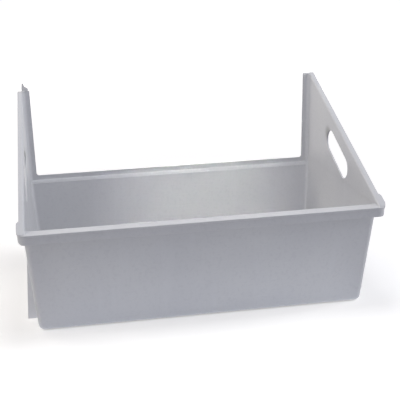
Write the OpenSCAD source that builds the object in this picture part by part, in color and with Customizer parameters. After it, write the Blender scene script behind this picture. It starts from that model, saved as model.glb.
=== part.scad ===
// Fridge drawer: a one-piece moulded bin with two raised side wings.
// Millimetres. Z up. Origin at the centre of the plan, on the floor plane.
// The low rear end with the hand rim faces -Y; the open front frame faces +Y.

/* [Overall size] */
// Width across the rear rim
rim_w = 451.2; // [400:1:500]
// Length from the rear rim's edge to the front frame
depth = 282; // [260:1:320]
// Height of the rear rim above the floor plane
tub_h = 140; // [125:1:170]
// Height of the wing tops above the rear rim
wing_h = 127.7; // [100:0.5:140]

/* [Walls] */
// Wall thickness
wall = 2.4; // [2:0.1:3]
// How far the tub's inside is set out beyond the wings' inside at the rim
tub_out = 1.5; // [0.5:0.1:2.5]
// Thickness of the wings
wing_t = 2.2; // [1.8:0.1:2.4]
// Lean of the tub's side walls
side_draft = 3.3; // [1:0.1:5]
// Lean of the tub's rear wall
rear_draft = 7.6; // [3:0.1:9]
// Lean of the tub's front wall
front_draft = 4.8; // [2:0.1:7]
// Outside radius of the tub's upright corners and bottom edges
tub_r = 8; // [6:0.5:14]

/* [Rim] */
// Width of the flat rear rim, front to back
rear_flange = 15; // [11:0.1:18]
// Width of the sloped flanges along the wings
flange_w = 7.1; // [6:0.1:9]
// How much wider the rim is at the rear ears, on each side
ear_w = 3; // [2:0.1:4]
// Depth of the turned-down skirt
skirt_h = 12; // [8:0.5:16]
// How far the skirt is set in below the flange edge
skirt_in = 0.9; // [0.5:0.1:1.5]
// Plan radius of the rear rim corners
rim_r = 12; // [8:0.5:16]
// Length of the wider ears at the rear rim corners
ear_l = 26; // [22:0.5:30]
// Distance from the rear edge where the side flanges start to climb
climb_y = 3.5; // [3:0.1:6]

// Rounding of the flanges' inside edges
soft_r = 2; // [1.2:0.1:2.2]

/* [Front frame] */
// Height of the front wall's step below the rear rim
step_z = 10.5; // [9:0.5:14]
// Height of the front sill below the rear rim
sill_z = 4; // [2:0.5:5]
// Width of the inward lips on the wings' front edges
lip_w = 9.7; // [7:0.1:14]
// Radius where a lip meets the sill
lip_r = 5; // [3:0.5:9]
// Inside radius between a lip and its wing
lip_fillet = 6; // [3:0.5:8]

/* [Hand slots] */
// Distance of the slot's rear end centre from the rear edge
slot_y = 127.5; // [110:0.5:140]
// Height of the slot's rear end centre above the rear rim
slot_z = 18.2; // [17:0.5:22]
// Distance between the two end centres
slot_run = 58; // [40:0.5:64]
// Width of the slot
slot_w = 30.5; // [24:0.5:32]
// Slope of the slot
slot_tilt = 26; // [23:0.1:27]

/* [Guide fins] */
// Distance of the fins from the rear edge
fin_y = 68; // [60:0.5:90]
// Thickness of a fin
fin_t = 3; // [2:0.1:4]
// Height of a fin's upper end below the rear rim
fin_low = 32; // [24:1:60]
// How far the fins' feet stay inside the rim's edge
fin_in = 0.9; // [0.5:0.1:6]

/* [Broken stub] */
// How much of the left wing's tip is broken away
tip_lost = 4.5; // [2:0.1:7]
// Width of the broken stub's neck
stub_w = 8.4; // [6:0.1:10]
// Height of the stub's sharp point above the broken edge
stub_h = 11.1; // [8:0.1:13]

/* [Hidden] */
eps = 0.01;
// How far an inside rounding is pushed into its corner, so it crosses the walls
nip = 0.25;
rim_half = rim_w / 2;
flange_half = rim_half - ear_w;
wing_in = flange_half - flange_w;
in_half = wing_in + tub_out;
out_half = in_half + wall;
fin_half = rim_half - fin_in;
fin_top = -fin_low;
slope = wing_h / (depth - climb_y);
slope_a = atan(slope);
frame_y = depth - wall;
side_foot = out_half - tub_h * tan(side_draft);
rear_top = rear_flange;
rear_foot = rear_top + tub_h * tan(rear_draft);
// The rear wall's inner face at the rim
rear_in = rear_top + wall / cos(rear_draft);
front_top = depth - 2.2;
front_foot = front_top - tub_h * tan(front_draft);
// The front wall's inner face at the sill's lower edge
front_in = front_top - (step_z + 6) * tan(front_draft) - wall / cos(front_draft);

// Height of the wing's top line above the rear rim at length y
function top_z(y) = (y - climb_y) * slope;

// ---- helpers ----

// Run a (length, height) outline across the width from x0 to x1
module across(x0, x1) {
  translate([x0, 0, 0])
    rotate([90, 0, 90])
      linear_extrude(x1 - x0)
        children();
}

// Run a (width, height) outline along the length from y0 to y1
module along(y0, y1) {
  translate([0, y1, 0])
    rotate([90, 0, 0])
      linear_extrude(y1 - y0)
        children();
}

// A child and its mirror image
module both_sides() {
  children();
  mirror([1, 0, 0])
    children();
}

// ---- outlines seen from above ----

// The rim's plan, drawn in by o on the rear and the sides
module rim_plan(o) {
  h = rim_half - o;
  r = rim_r - o;
  b = 5 - o;
  translate([-(flange_half - o), 20])
    square([2 * (flange_half - o), depth - 20]);
  translate([-h, o + r])
    square([2 * h, ear_l - 2 * o - r - b]);
  translate([-(h - r), o])
    square([2 * (h - r), r + 1]);
  translate([-(h - b), ear_l - o - b - 1])
    square([2 * (h - b), b + 1]);
  for (s = [-1, 1]) {
    translate([s * (h - r), o + r])
      circle(r, $fn = 64);
    translate([s * (h - b), ear_l - o - b])
      circle(b, $fn = 48);
  }
}

// ---- outlines seen from the side ----

// Everything under the wing's top line, shrunk by t
module wing_side(t) {
  lift = t / cos(slope_a);
  polygon([
    [-5, -60],
    [-5, -t],
    [climb_y + (lift - t) / slope, -t],
    [depth, top_z(depth) - lift],
    [depth, -60]
  ]);
}

// Everything below the skirt's lower edge
module below_skirt() {
  polygon([
    [-5, -90],
    [-5, -skirt_h],
    [3.3, -skirt_h],
    [12, 4 - skirt_h],
    [ear_l + 4, 4 - skirt_h],
    [ear_l + 26, top_z(ear_l + 26) - skirt_h],
    [depth + 5, top_z(depth + 5) - skirt_h],
    [depth + 5, -90]
  ]);
}

// A hand slot, drawn along the wing's slope
module slot_side() {
  translate([slot_y, slot_z])
    rotate(slot_tilt) {
      circle(d = slot_w, $fn = 64);
      translate([slot_run, 0])
        circle(d = slot_w, $fn = 64);
      translate([0, -slot_w / 2])
        square([slot_run, slot_w]);
    }
}

// ---- the moulding, drawn from the rear rim's edge and level ----

// The tub's form with its edges rounded to r
module tub_form(r) {
  hull() {
    for (s = [-1, 1]) {
      translate([s * (side_foot - tub_r), rear_foot + tub_r, tub_r - tub_h])
        sphere(r, $fn = 32);
      translate([s * (side_foot - tub_r), front_foot - tub_r, tub_r - tub_h])
        sphere(r, $fn = 32);
      translate([s * (out_half - tub_r), rear_top + tub_r, -eps])
        cylinder(h = eps, r = r, $fn = 32);
      translate([s * (out_half - tub_r), front_top - tub_r, -eps])
        cylinder(h = eps, r = r, $fn = 32);
    }
  }
}

// The open tub, with its front wall cut down to the step
module tub() {
  color([0.86, 0.86, 0.88])
  difference() {
    tub_form(tub_r);
    // the leaning walls turn upright where they reach the wings' inside width
    intersection() {
      translate([0, 0, 2 * eps])
        tub_form(tub_r - wall);
      translate([-wing_in - 0.15, 0, -tub_h])
        cube([2 * wing_in + 0.3, depth, tub_h + 1]);
    }
    translate([-rim_half, front_top - 6, -step_z - 4.5])
      cube([rim_w, 20, step_z + 10]);
  }
}

// What is taken off the rear flange's inside edge
module rear_edge() {
  polygon([
    [-1.5, 1],
    [-1.5, 0.03],
    [-0.62, -0.2],
    [-0.15, -0.68],
    [0.4, -2],
    [2, -2],
    [2, 1]
  ]);
}

// A wing and its flange, seen along the slope: a plate, a rounded edge, a flange
module wing_outline() {
  translate([wing_in, -depth])
    square([wing_t, depth - soft_r]);
  translate([wing_in + soft_r, -wall])
    square([rim_half + 1 - wing_in - soft_r, wall]);
  translate([wing_in + soft_r, -soft_r])
    circle(soft_r, $fn = 48);
}

// How far the wing outline is kept, seen from the side
module wing_extent() {
  polygon([
    [climb_y + 1, wing_h + 5],
    [climb_y + 1, -wall / 2],
    [front_top - 14, -wall / 2],
    [front_top - 14, -step_z - 5.5],
    [depth, -step_z - 5.5],
    [depth, wing_h + 5]
  ]);
}

// Flat flange at the rear, and the wings with their sloped flanges
module wings() {
  color([0.88, 0.88, 0.9])
  difference() {
    intersection() {
      translate([0, 0, -step_z - 8])
        linear_extrude(wing_h + step_z + 15)
          rim_plan(0);
      union() {
        translate([-rim_half - 1, 0, -wall])
          cube([rim_w + 2, climb_y + 1.5, wall]);
        translate([-wing_in - 1.5, 0, -wall])
          cube([2 * wing_in + 3, rear_top + 1.8, wall]);
        both_sides()
          intersection() {
            translate([0, climb_y, 0])
              rotate([slope_a, 0, 0])
                along(-20, depth * 1.2)
                  wing_outline();
            across(wing_in - 1, rim_half + 2)
              wing_extent();
          }
      }
    }
    both_sides()
      across(wing_in - 1, out_half + 1)
        slot_side();
  }
}

// The turned-down skirt under the flange's edge
module skirt() {
  color([0.84, 0.84, 0.86])
  intersection() {
    translate([0, 0, -skirt_h - 5])
      linear_extrude(wing_h + skirt_h + 10)
        difference() {
          rim_plan(skirt_in);
          rim_plan(skirt_in + wall - 0.2);
        }
    across(-rim_half - 1, rim_half + 1)
      difference() {
        wing_side(1);
        below_skirt();
      }
  }
}

// Sill across the front: a step, then a low upright edge
module front_sill() {
  color([0.85, 0.85, 0.87])
  across(-wing_in - 1, wing_in + 1)
    polygon([
      [front_in + 0.3, -step_z - 6],
      [front_in + 0.7, -step_z - 3.8],
      [frame_y, -step_z],
      [frame_y, -sill_z],
      [depth, -sill_z],
      [depth, -step_z - 2],
      [front_in + wall - 0.2, -step_z - 6]
    ]);
}

// Upright lips that frame the open front
module lips() {
  color([0.85, 0.85, 0.87])
  both_sides() {
    difference() {
      intersection() {
        translate([wing_in - lip_w, frame_y, -step_z - 2])
          cube([rim_half, wall, wing_h + step_z + 10]);
        across(0, flange_half - 0.6)
          difference() {
            wing_side(0.4);
            translate([-5, -90])
              square([depth + 10, 88 - step_z]);
          }
      }
      // open space outside the wing and under its skirt
      across(wing_in + wing_t - 0.2, rim_half)
        below_skirt();
    }
    // solid end inside the flange's tip
    across(wing_in + wing_t - 0.3, flange_half - skirt_in - 1)
      polygon([
        [depth - 8, top_z(depth) - 10],
        [depth - 8, top_z(depth - 8) - 1.5],
        [frame_y + 1, top_z(frame_y + 1) - 1.5],
        [frame_y + 1, top_z(depth) - 10]
      ]);
    // rounded inside corner where the lip meets the sill
    along(frame_y, depth)
      difference() {
        translate([wing_in - lip_w - lip_r + nip, -sill_z - 1])
          square([lip_r + 1, lip_r + 1 - nip]);
        translate([wing_in - lip_w - lip_r + nip, -sill_z + lip_r - nip])
          circle(lip_r, $fn = 48);
      }
    // rounded inside corner between lip and wing
    intersection() {
      translate([0, 0, -step_z - 5])
        linear_extrude(wing_h + step_z + 10)
          translate([wing_in - lip_fillet + nip, frame_y - lip_fillet + nip])
            difference() {
              square([lip_fillet + 1 - nip, lip_fillet + 1 - nip]);
              circle(lip_fillet, $fn = 48);
            }
      across(0, wing_in + 1)
        wing_side(0.4);
    }
  }
}

// Thin upright fins that guide the tub between the runners
module fins() {
  color([0.85, 0.85, 0.87])
  both_sides()
    along(fin_y - fin_t / 2, fin_y + fin_t / 2)
      polygon([
        [side_foot - 1.8, -tub_h + 4],
        [fin_half, -tub_h + 4],
        [fin_half, -tub_h + 7],
        [out_half - 1.6, fin_top],
        [in_half - 1, fin_top]
      ]);
}

// The snapped-off remains of a tab on top of the left wing
module stub() {
  color([0.85, 0.85, 0.87])
  along(frame_y, depth)
    translate([-wing_in + stub_w / 2 - 1.1, wing_h - tip_lost])
      polygon([
        [-stub_w / 2, -4],
        [-stub_w / 2 + 0.2, 6],
        [-stub_w / 2 + 1.1, stub_h],
        [-stub_w / 2 + 2.2, stub_h],
        [0, 6.6],
        [stub_w / 2 - 0.2, 4.2],
        [stub_w / 2 + 0.8, 1.9],
        [stub_w / 2, -0.5],
        [stub_w / 2, -4]
      ]);
}

module drawer() {
  translate([0, -depth / 2, tub_h]) {
    difference() {
      union() {
        tub();
        wings();
        skirt();
        lips();
      }
      // rounded inside edge of the rear flange
      translate([0, rear_in, 0])
        across(-wing_in + 4, wing_in - 4)
          rear_edge();
      // the broken tip of the left wing
      translate([-rim_half - 1, depth - 10 * tip_lost, wing_h - tip_lost])
        cube([rim_half, 10 * tip_lost + 5, tip_lost + 5]);
    }
    front_sill();
    fins();
    stub();
  }
}

drawer();
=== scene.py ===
import math

import bpy
from mathutils import Matrix, Vector

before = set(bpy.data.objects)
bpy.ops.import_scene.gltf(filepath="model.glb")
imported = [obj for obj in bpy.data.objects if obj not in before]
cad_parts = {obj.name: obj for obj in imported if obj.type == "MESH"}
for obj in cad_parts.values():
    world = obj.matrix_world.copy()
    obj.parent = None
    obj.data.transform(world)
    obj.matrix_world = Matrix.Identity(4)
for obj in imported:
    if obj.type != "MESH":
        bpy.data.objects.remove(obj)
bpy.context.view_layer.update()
scene = bpy.context.scene
scene.view_settings.view_transform = "Standard"

# ---- camera ----

CAM_AT = Vector((-0.16452, -0.97262, 0.43496))
# radians: turn to the right, tilt down, lean
YAW = 0.1394
PITCH = 0.3175
ROLL = -0.0338
# millimetres
SENSOR_WIDTH = 36
LENS = 67.90
# shares of the picture's width
SHIFT_X = 0.08
SHIFT_Y = 0.024
CLIP_START = 0.05
CLIP_END = 100


def make_camera():
    data = bpy.data.cameras.new("camera")
    data.sensor_fit = "HORIZONTAL"
    data.sensor_width = SENSOR_WIDTH
    data.lens = LENS
    data.shift_x = SHIFT_X
    data.shift_y = SHIFT_Y
    data.clip_start = CLIP_START
    data.clip_end = CLIP_END
    cam = bpy.data.objects.new("camera", data)
    scene.collection.objects.link(cam)
    ahead = Vector(
        (
            math.sin(YAW) * math.cos(PITCH),
            math.cos(YAW) * math.cos(PITCH),
            -math.sin(PITCH),
        )
    )
    level_right = Vector((math.cos(YAW), -math.sin(YAW), 0))
    level_up = level_right.cross(ahead)
    right = level_right * math.cos(ROLL) + level_up * math.sin(ROLL)
    up = level_up * math.cos(ROLL) - level_right * math.sin(ROLL)
    turn = Matrix((right, up, -ahead)).transposed()
    cam.matrix_world = Matrix.Translation(CAM_AT) @ turn.to_4x4()
    scene.camera = cam


# ---- node helpers ----


def new_material(name):
    mat = bpy.data.materials.new(name)
    mat.use_nodes = True
    tree = mat.node_tree
    tree.nodes.clear()
    return mat, tree


def add(tree, kind, **inputs):
    """A new node, with plain values for its inputs; _ stands for a space."""
    node = tree.nodes.new(kind)
    for key, value in inputs.items():
        node.inputs[key.replace("_", " ")].default_value = value
    return node


def calculate(tree, kind, operation, *values):
    """A Math or Vector Math node fed by sockets or plain values."""
    node = add(tree, kind)
    node.operation = operation
    for slot, value in enumerate(values):
        if isinstance(value, bpy.types.NodeSocket):
            tree.links.new(value, node.inputs[slot])
        else:
            node.inputs[slot].default_value = value
    return node


def math_of(tree, operation, *values):
    return calculate(tree, "ShaderNodeMath", operation, *values).outputs[0]


def vector_of(tree, operation, *values):
    return calculate(tree, "ShaderNodeVectorMath", operation, *values).outputs["Vector"]


def length_of(tree, operation, *values):
    return calculate(tree, "ShaderNodeVectorMath", operation, *values).outputs["Value"]


def split_of(tree, vector):
    node = add(tree, "ShaderNodeSeparateXYZ")
    tree.links.new(vector, node.inputs[0])
    return node.outputs


def times(tree, one, other):
    return math_of(tree, "MULTIPLY", one, other)


def spread_out(tree, value, start, end, at_start=0.0, at_end=1.0):
    """A smooth step of value from at_start to at_end."""
    node = add(tree, "ShaderNodeMapRange")
    node.interpolation_type = "SMOOTHSTEP"
    for slot, number in enumerate((start, end, at_start, at_end), 1):
        node.inputs[slot].default_value = number
    tree.links.new(value, node.inputs[0])
    return node.outputs[0]


def noise(tree, where, scale, detail):
    node = add(tree, "ShaderNodeTexNoise", Scale=scale, Detail=detail)
    tree.links.new(where, node.inputs["Vector"])
    return node.outputs["Fac"]


def drawn_noise(tree, where, stretch, detail):
    """Noise with its own scale along each axis."""
    return noise(tree, vector_of(tree, "MULTIPLY", where, stretch), 1.0, detail)


def tint(tree, colour, factor, new_colour):
    node = add(tree, "ShaderNodeMix")
    node.data_type = "RGBA"
    tree.links.new(factor, node.inputs["Factor"])
    tree.links.new(colour, node.inputs["A"])
    node.inputs["B"].default_value = (*new_colour, 1)
    return node.outputs["Result"]


def colour_ramp(tree, value, places, colours):
    node = add(tree, "ShaderNodeValToRGB")
    for element, place, colour in zip(node.color_ramp.elements, places, colours):
        element.position = place
        element.color = (*colour, 1)
    tree.links.new(value, node.inputs["Fac"])
    return node.outputs["Color"]


def softened_normal(tree, radius):
    node = add(tree, "ShaderNodeBevel", Radius=radius)
    node.samples = EDGE_SAMPLES
    return node.outputs["Normal"]


def background_rays(tree):
    """1 for rays that should see the background, 0 for those that light things."""
    rays = add(tree, "ShaderNodeLightPath").outputs
    first = math_of(tree, "MAXIMUM", rays["Is Camera Ray"], rays["Is Glossy Ray"])
    return math_of(tree, "MAXIMUM", first, rays["Is Transmission Ray"])


# ---- plastic: places and sizes ----

EDGE_SAMPLES = 6
# edges rubbed by handling: width, cosines of the turn, and how open the place is
RUB_WIDTH = 0.0012
RUB_TURN = (0.995, 0.85)
HOLLOW_REACH = 0.004
HOLLOW_OPEN = (0.80, 0.97)
# over this length along an axis, a mark that is on one side only fades out
ONE_SIDE = 0.01
# painted shade: a dark patch by the upper end of each hand slot, and how it fades over
# its own size
SLOT_SHADE_AT = (0.2150, 0.0505, 0.1925)
SLOT_SHADE_SIZE = (0.0024, 0.0125, 0.0120)
SLOT_SHADE_FADE = (1.15, 0.35)
# height of the broken edge on the left wing
SNAP_Z = 0.2628
SNAP_FADE = 0.0012
# guide fins: their place along the drawer, half their thickness and their top
FIN_Y = 0.0730
FIN_HALF = 0.0015
FIN_TOP = 0.108
FIN_TOP_FADE = 0.002
# the paint stops between these shares of half the thickness
FIN_FADE = (1.4, 1.1)
# half width of the tub's foot, and how far its sides lean out per unit of height
FOOT_X = 0.2113
SIDE_LEAN = 0.0577
# the paint starts this far outside the wall
OFF_WALL = (0.0002, 0.0010)

# ---- plastic: colours, and scales in waves per metre ----

PLASTIC = ((0.552, 0.558, 0.583), (0.584, 0.589, 0.604))
CLOUD_SCALE = 9.0
CLOUD_RANGE = (0.3, 0.7)

SPECKLE = (0.510, 0.515, 0.541)
SPECKLE_SCALE = 260.0
SPECKLE_RANGE = (0.48, 0.72)
SPECKLE_SHARE = 0.42

FLOW = (0.596, 0.602, 0.625)
FLOW_SCALES = (70, 70, 5)
FLOW_RANGE = (0.52, 0.70)
FLOW_SHARE = 0.30

RUBBED = (0.720, 0.720, 0.725)
RUB_SCALE = 45.0
RUB_RANGE = (0.35, 0.60)
RUB_SHARE = 0.60

SCRATCH = (0.680, 0.682, 0.688)
PATCH_SCALE = 11.0
PATCH_RANGE = (0.46, 0.62)
# scales and range of the marks along the drawer's width, and along its depth
HAIRLINES = (
    ((20, 1100, 1100), (0.65, 0.75)),
    ((1000, 45, 1000), (0.66, 0.76)),
)
SCRATCH_SHARE = 0.28

# painted shade: the dark patch by each hand slot
SLOT_SHADE = (0.330, 0.330, 0.335)
# painted light: the fins' paler tone stands in for the light they catch
FIN_LIGHT = (0.830, 0.832, 0.845)
FIN_LIGHT_SHARE = 0.85
TORN = (0.640, 0.640, 0.640)
TORN_SHARE = 0.55

PLASTIC_IOR = 1.5
ROUGH_SCALE = 22.0
ROUGH_RANGE = (0.3, 0.7)
ROUGHNESS = (0.36, 0.46)
DULL_ROUGHNESS = 0.18

SOFT_EDGE = 0.0007
# scale, strength and depth of the relief
GRAIN = (700.0, 0.16, 0.0003)
TORN_RELIEF = (650.0, 0.7, 0.0008)


def edge_mask(tree):
    """1 on the outer edges, 0 on the flats and in the hollows."""
    flat = add(tree, "ShaderNodeNewGeometry").outputs["True Normal"]
    turn = length_of(tree, "DOT_PRODUCT", softened_normal(tree, RUB_WIDTH), flat)
    hollow = add(tree, "ShaderNodeAmbientOcclusion", Distance=HOLLOW_REACH)
    hollow.samples = EDGE_SAMPLES
    open_side = spread_out(tree, hollow.outputs["AO"], *HOLLOW_OPEN)
    return times(tree, spread_out(tree, turn, *RUB_TURN), open_side)


def slot_shade_mask(tree, where):
    """Painted shade: a dark patch by the upper end of each hand slot."""
    away = vector_of(tree, "SUBTRACT", vector_of(tree, "ABSOLUTE", where), SLOT_SHADE_AT)
    distance = length_of(tree, "LENGTH", vector_of(tree, "DIVIDE", away, SLOT_SHADE_SIZE))
    near = spread_out(tree, distance, *SLOT_SHADE_FADE)
    return times(tree, near, spread_out(tree, split_of(tree, where)["Y"], 0.0, ONE_SIDE))


def fin_light_mask(tree, where):
    """Painted light: the guide fins on both sides, painted paler than the wall for the
    light they catch.
    """
    mirrored = vector_of(tree, "ABSOLUTE", where)
    outward = length_of(tree, "DOT_PRODUCT", mirrored, (1, 0, -SIDE_LEAN))
    start, end = OFF_WALL
    mask = spread_out(tree, outward, FOOT_X + start, FOOT_X + end)
    split = split_of(tree, mirrored)
    for side in (-FIN_HALF, FIN_HALF):
        start, end = (FIN_Y + share * side for share in FIN_FADE)
        mask = times(tree, mask, spread_out(tree, split["Y"], start, end))
    low = spread_out(tree, split["Z"], FIN_TOP + FIN_TOP_FADE, FIN_TOP - FIN_TOP_FADE)
    return times(tree, mask, low)


def snap_mask(tree, where):
    """The broken tip of the left wing."""
    split = split_of(tree, where)
    high = spread_out(tree, split["Z"], SNAP_Z - SNAP_FADE, SNAP_Z)
    return times(tree, high, spread_out(tree, split["X"], 0.0, -ONE_SIDE))


def scratch_mask(tree, where):
    """Hair-fine handling marks, in patches."""
    patch = spread_out(tree, noise(tree, where, PATCH_SCALE, detail=1.0), *PATCH_RANGE)
    lines = [
        spread_out(tree, drawn_noise(tree, where, scales, detail=1.0), *limits)
        for scales, limits in HAIRLINES
    ]
    return times(tree, math_of(tree, "MAXIMUM", *lines), patch)


def make_plastic():
    mat, tree = new_material("satin_plastic")
    link = tree.links.new
    out = add(tree, "ShaderNodeOutputMaterial")
    shader = add(tree, "ShaderNodeBsdfPrincipled", IOR=PLASTIC_IOR)
    link(shader.outputs[0], out.inputs[0])
    where = add(tree, "ShaderNodeTexCoord").outputs["Object"]

    # broad and fine unevenness of the moulded plastic's colour
    cloud = noise(tree, where, CLOUD_SCALE, detail=3.0)
    colour = colour_ramp(tree, cloud, CLOUD_RANGE, PLASTIC)
    fine = noise(tree, where, SPECKLE_SCALE, detail=2.0)
    speckle = spread_out(tree, fine, *SPECKLE_RANGE, 0.0, SPECKLE_SHARE)
    colour = tint(tree, colour, speckle, SPECKLE)

    # flow lines of the melt, up the walls and wings
    lines = drawn_noise(tree, where, FLOW_SCALES, detail=2.0)
    flow = spread_out(tree, lines, *FLOW_RANGE, 0.0, FLOW_SHARE)
    colour = tint(tree, colour, flow, FLOW)

    # edges rubbed lighter, here and there
    uneven = spread_out(tree, noise(tree, where, RUB_SCALE, detail=3.0), *RUB_RANGE)
    rubbed = times(tree, edge_mask(tree), uneven)
    colour = tint(tree, colour, times(tree, rubbed, RUB_SHARE), RUBBED)

    scratch = scratch_mask(tree, where)
    colour = tint(tree, colour, times(tree, scratch, SCRATCH_SHARE), SCRATCH)

    # painted shade by each slot, painted light on the paler fins, and the pale broken
    # end
    colour = tint(tree, colour, slot_shade_mask(tree, where), SLOT_SHADE)
    fins = fin_light_mask(tree, where)
    colour = tint(tree, colour, times(tree, fins, FIN_LIGHT_SHARE), FIN_LIGHT)
    snapped = snap_mask(tree, where)
    colour = tint(tree, colour, times(tree, snapped, TORN_SHARE), TORN)
    link(colour, shader.inputs["Base Color"])

    # gloss: patchy satin, duller on rubbed edges, scratches and the break
    patchy = noise(tree, where, ROUGH_SCALE, detail=3.0)
    rough = spread_out(tree, patchy, *ROUGH_RANGE, *ROUGHNESS)
    for dull in (rubbed, scratch, snapped):
        rough = math_of(tree, "MULTIPLY_ADD", dull, DULL_ROUGHNESS, rough)
    link(rough, shader.inputs["Roughness"])

    # relief: softened edges, the mould's fine grain, the torn surface
    normal = softened_normal(tree, SOFT_EDGE)
    for (scale, strength, depth), mask in ((GRAIN, None), (TORN_RELIEF, snapped)):
        height = noise(tree, where, scale, detail=3.0)
        if mask is not None:
            height = times(tree, height, mask)
        bump = add(tree, "ShaderNodeBump", Strength=strength, Distance=depth)
        link(height, bump.inputs["Height"])
        link(normal, bump.inputs["Normal"])
        normal = bump.outputs["Normal"]
    link(normal, shader.inputs["Normal"])
    return mat


# ---- smooth shading between nearly level facets ----

WELD_DISTANCE = 0.000005
SMOOTH_ANGLE = math.radians(28)


def add_smoothing(obj):
    weld = obj.modifiers.new("weld", "WELD")
    weld.merge_threshold = WELD_DISTANCE
    group = bpy.data.node_groups.new("shade_by_angle", "GeometryNodeTree")
    for way in ("INPUT", "OUTPUT"):
        group.interface.new_socket(
            "Geometry", in_out=way, socket_type="NodeSocketGeometry"
        )
    start = group.nodes.new("NodeGroupInput")
    end = group.nodes.new("NodeGroupOutput")
    edge = group.nodes.new("GeometryNodeInputMeshEdgeAngle")
    less = group.nodes.new("FunctionNodeCompare")
    less.data_type = "FLOAT"
    less.operation = "LESS_THAN"
    less.inputs[1].default_value = SMOOTH_ANGLE
    face = group.nodes.new("GeometryNodeSetShadeSmooth")
    face.domain = "FACE"
    face.inputs["Shade Smooth"].default_value = True
    rim = group.nodes.new("GeometryNodeSetShadeSmooth")
    rim.domain = "EDGE"
    link = group.links.new
    link(edge.outputs["Unsigned Angle"], less.inputs[0])
    link(start.outputs[0], face.inputs["Geometry"])
    link(face.outputs[0], rim.inputs["Geometry"])
    link(less.outputs["Result"], rim.inputs["Shade Smooth"])
    link(rim.outputs[0], end.inputs[0])
    mod = obj.modifiers.new("smooth", "NODES")
    mod.node_group = group


# ---- floor, world, lamps ----

FLOOR_SIZE = 60
FLOOR_Z = -0.0002
FLOOR_COLOUR = (0.80, 0.80, 0.80)
GLOW_COLOUR = (1, 0.985, 0.95)
# distance from the origin, and the floor's own glow at each
GLOW_REACH = (0.25, 2.2)
GLOW = (0.42, 0.88)
WORLD = 0.19
WORLD_TINT = (0.87, 0.915, 1.215)
WHITE = (1, 1, 1)
CENTRE = (0.0, 0.0, 0.12)
NEUTRAL = (1.0, 1.0, 1.0)
WARM = (1.09, 1.01, 0.87)
COOL = (0.95, 0.99, 1.06)
PALE_WARM = (1.02, 1.03, 0.95)
WIDE = 180
NARROW = 7.5
# power, size, place, aim, spread in degrees, colour
LAMPS = {
    "left": (12.0, (1.0, 1.0), (-2.0, -0.2, 1.2), CENTRE, WIDE, WARM),
    "right": (22.0, (1.0, 1.0), (2.0, -0.2, 1.2), CENTRE, WIDE, NEUTRAL),
    "front": (2.1, (0.9, 0.9), (-0.5, -1.5, 1.4), CENTRE, WIDE, NEUTRAL),
    "back_left": (12.5, (1.2, 1.2), (-1.6, 1.6, 1.5), CENTRE, WIDE, WARM),
    "over": (2.45, (0.3, 0.3), (0.0, -0.11, 0.9), (0.0, -0.11, 0.0), WIDE, NEUTRAL),
    "inside": (
        0.132,
        (0.22, 0.22),
        (0.04, -0.526, 1.51),
        (0.04, 0.125, 0.03),
        NARROW,
        PALE_WARM,
    ),
    "table": (0.25, (0.45, 0.42), (0.0, 0.0, 0.001), (0.0, 0.0, 1.0), WIDE, COOL),
}


def make_floor():
    bpy.ops.mesh.primitive_plane_add(size=FLOOR_SIZE, location=(0, 0, FLOOR_Z))
    floor = bpy.context.object
    floor.name = "floor"
    mat, tree = new_material("pale_floor")
    link = tree.links.new
    out = add(tree, "ShaderNodeOutputMaterial")
    matt = add(tree, "ShaderNodeBsdfDiffuse", Color=(*FLOOR_COLOUR, 1))
    glow = add(tree, "ShaderNodeEmission", Color=(*GLOW_COLOUR, 1))
    where = add(tree, "ShaderNodeTexCoord").outputs["Object"]
    distance = length_of(tree, "LENGTH", where)
    level = spread_out(tree, distance, *GLOW_REACH, *GLOW)
    link(times(tree, background_rays(tree), level), glow.inputs["Strength"])
    both = add(tree, "ShaderNodeAddShader")
    link(matt.outputs[0], both.inputs[0])
    link(glow.outputs[0], both.inputs[1])
    link(both.outputs[0], out.inputs[0])
    floor.data.materials.append(mat)


def make_world():
    world = bpy.data.worlds.new("studio")
    scene.world = world
    world.use_nodes = True
    tree = world.node_tree
    tree.nodes.clear()
    link = tree.links.new
    out = add(tree, "ShaderNodeOutputWorld")
    mix = add(tree, "ShaderNodeMixShader")
    light = add(tree, "ShaderNodeBackground", Color=(*WORLD_TINT, 1), Strength=WORLD)
    seen = add(tree, "ShaderNodeBackground", Color=(*WHITE, 1), Strength=1.0)
    link(background_rays(tree), mix.inputs[0])
    link(light.outputs[0], mix.inputs[1])
    link(seen.outputs[0], mix.inputs[2])
    link(mix.outputs[0], out.inputs[0])


def make_lamp(name, power, size, place, aim, spread, colour):
    data = bpy.data.lights.new(name, "AREA")
    data.shape = "RECTANGLE"
    data.size, data.size_y = size
    data.energy = power
    data.color = colour
    data.spread = math.radians(spread)
    lamp = bpy.data.objects.new(name, data)
    scene.collection.objects.link(lamp)
    lamp.location = place
    ahead = Vector(aim) - Vector(place)
    lamp.rotation_euler = ahead.to_track_quat("-Z", "Y").to_euler()
    lamp.visible_camera = False
    return lamp


# ---- put together ----

make_camera()
make_world()
make_floor()
lamps = {name: make_lamp(name, *settings) for name, settings in LAMPS.items()}

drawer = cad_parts["drawer"]
drawer.data.materials.clear()
drawer.data.materials.append(make_plastic())
add_smoothing(drawer)

# the narrow lamp lights the inside of the drawer only, not the floor behind it
lit = bpy.data.collections.new("lit_inside")
lit.objects.link(drawer)
lamps["inside"].light_linking.receiver_collection = lit
